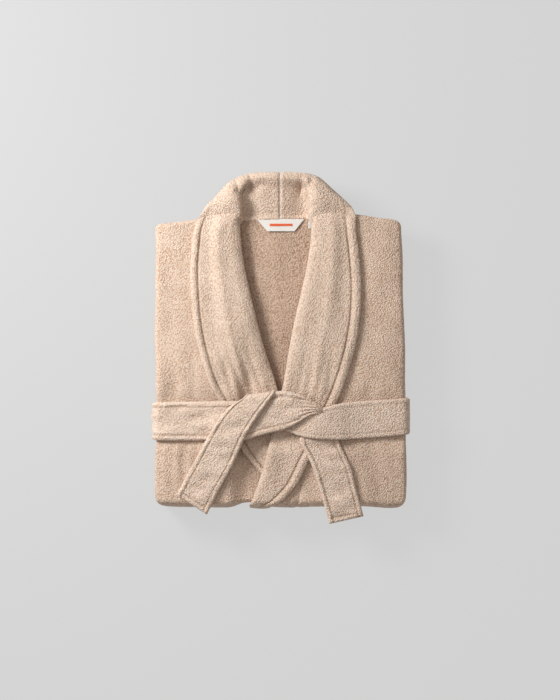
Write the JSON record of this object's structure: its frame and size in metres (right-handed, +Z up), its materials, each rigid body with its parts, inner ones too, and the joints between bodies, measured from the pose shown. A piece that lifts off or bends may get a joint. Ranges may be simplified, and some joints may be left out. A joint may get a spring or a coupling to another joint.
{
  "type": "folded bathrobe",
  "caption": "Terry bathrobe with a shawl collar, folded to a flat bundle and tied round with its own belt.",
  "frame": {"origin": "bottom centre of the folded bundle's box", "axes": "+X to the viewer's right across the bundle, +Y along it towards the collar, +Z up out of the front"},
  "size_m": [0.3904, 0.5308, 0.0787],
  "materials": {
    "terry_body": "looped cotton terry, sand",
    "terry_collar": "looped cotton terry, sand, two layers",
    "terry_belt": "looped cotton terry, sand, topstitched",
    "tape": "woven cotton tape",
    "label_white": "white satin weave"
  },
  "bodies": {
    "robe": {"back_panel": "terry_body", "front_panel_left": "terry_body", "front_panel_right": "terry_body", "sleeve_left": "terry_body", "sleeve_right": "terry_body", "cuff_left": "terry_body", "cuff_right": "terry_body", "pocket_left": "terry_body", "pocket_right": "terry_body", "belt_loop_left": "tape", "belt_loop_right": "tape", "collar_left": "terry_collar", "collar_right": "terry_collar", "belt_wrap": "terry_belt", "belt_knot": "terry_belt"},
    "tail_left": {"belt_tail_left": "terry_belt"},
    "tail_right": {"belt_tail_right": "terry_belt"},
    "label": {"brand_label": "label_white"},
    "tag": {"size_tag": "label_white"},
    "hanger": {"hanger_loop": "tape"}
  },
  "joints": [
    {"name": "tail_left_lift", "type": "hinge", "parent": "robe", "child": "tail_left", "pos_m": [-0.0365, -0.072, 0.0727], "axis": [-0.9374, -0.3482, 0], "range_deg": [0, 80]},
    {"name": "tail_right_lift", "type": "hinge", "parent": "robe", "child": "tail_right", "pos_m": [0.0535, -0.14, 0.0747], "axis": [-1, 0, 0], "range_deg": [0, 80]},
    {"name": "label_flip", "type": "hinge", "parent": "robe", "child": "label", "pos_m": [0, 0.194, 0.0507], "axis": [-1, 0, 0], "range_deg": [0, 85]},
    {"name": "tag_flip", "type": "hinge", "parent": "robe", "child": "tag", "pos_m": [0.0422, 0.1935, 0.0507], "axis": [-1, 0, 0], "range_deg": [0, 30]},
    {"name": "hanger_swing", "type": "hinge", "parent": "robe", "child": "hanger", "pos_m": [-0.002, 0.202, 0.0456], "axis": [1, 0, 0], "range_deg": [-15, 40]}
  ]
}
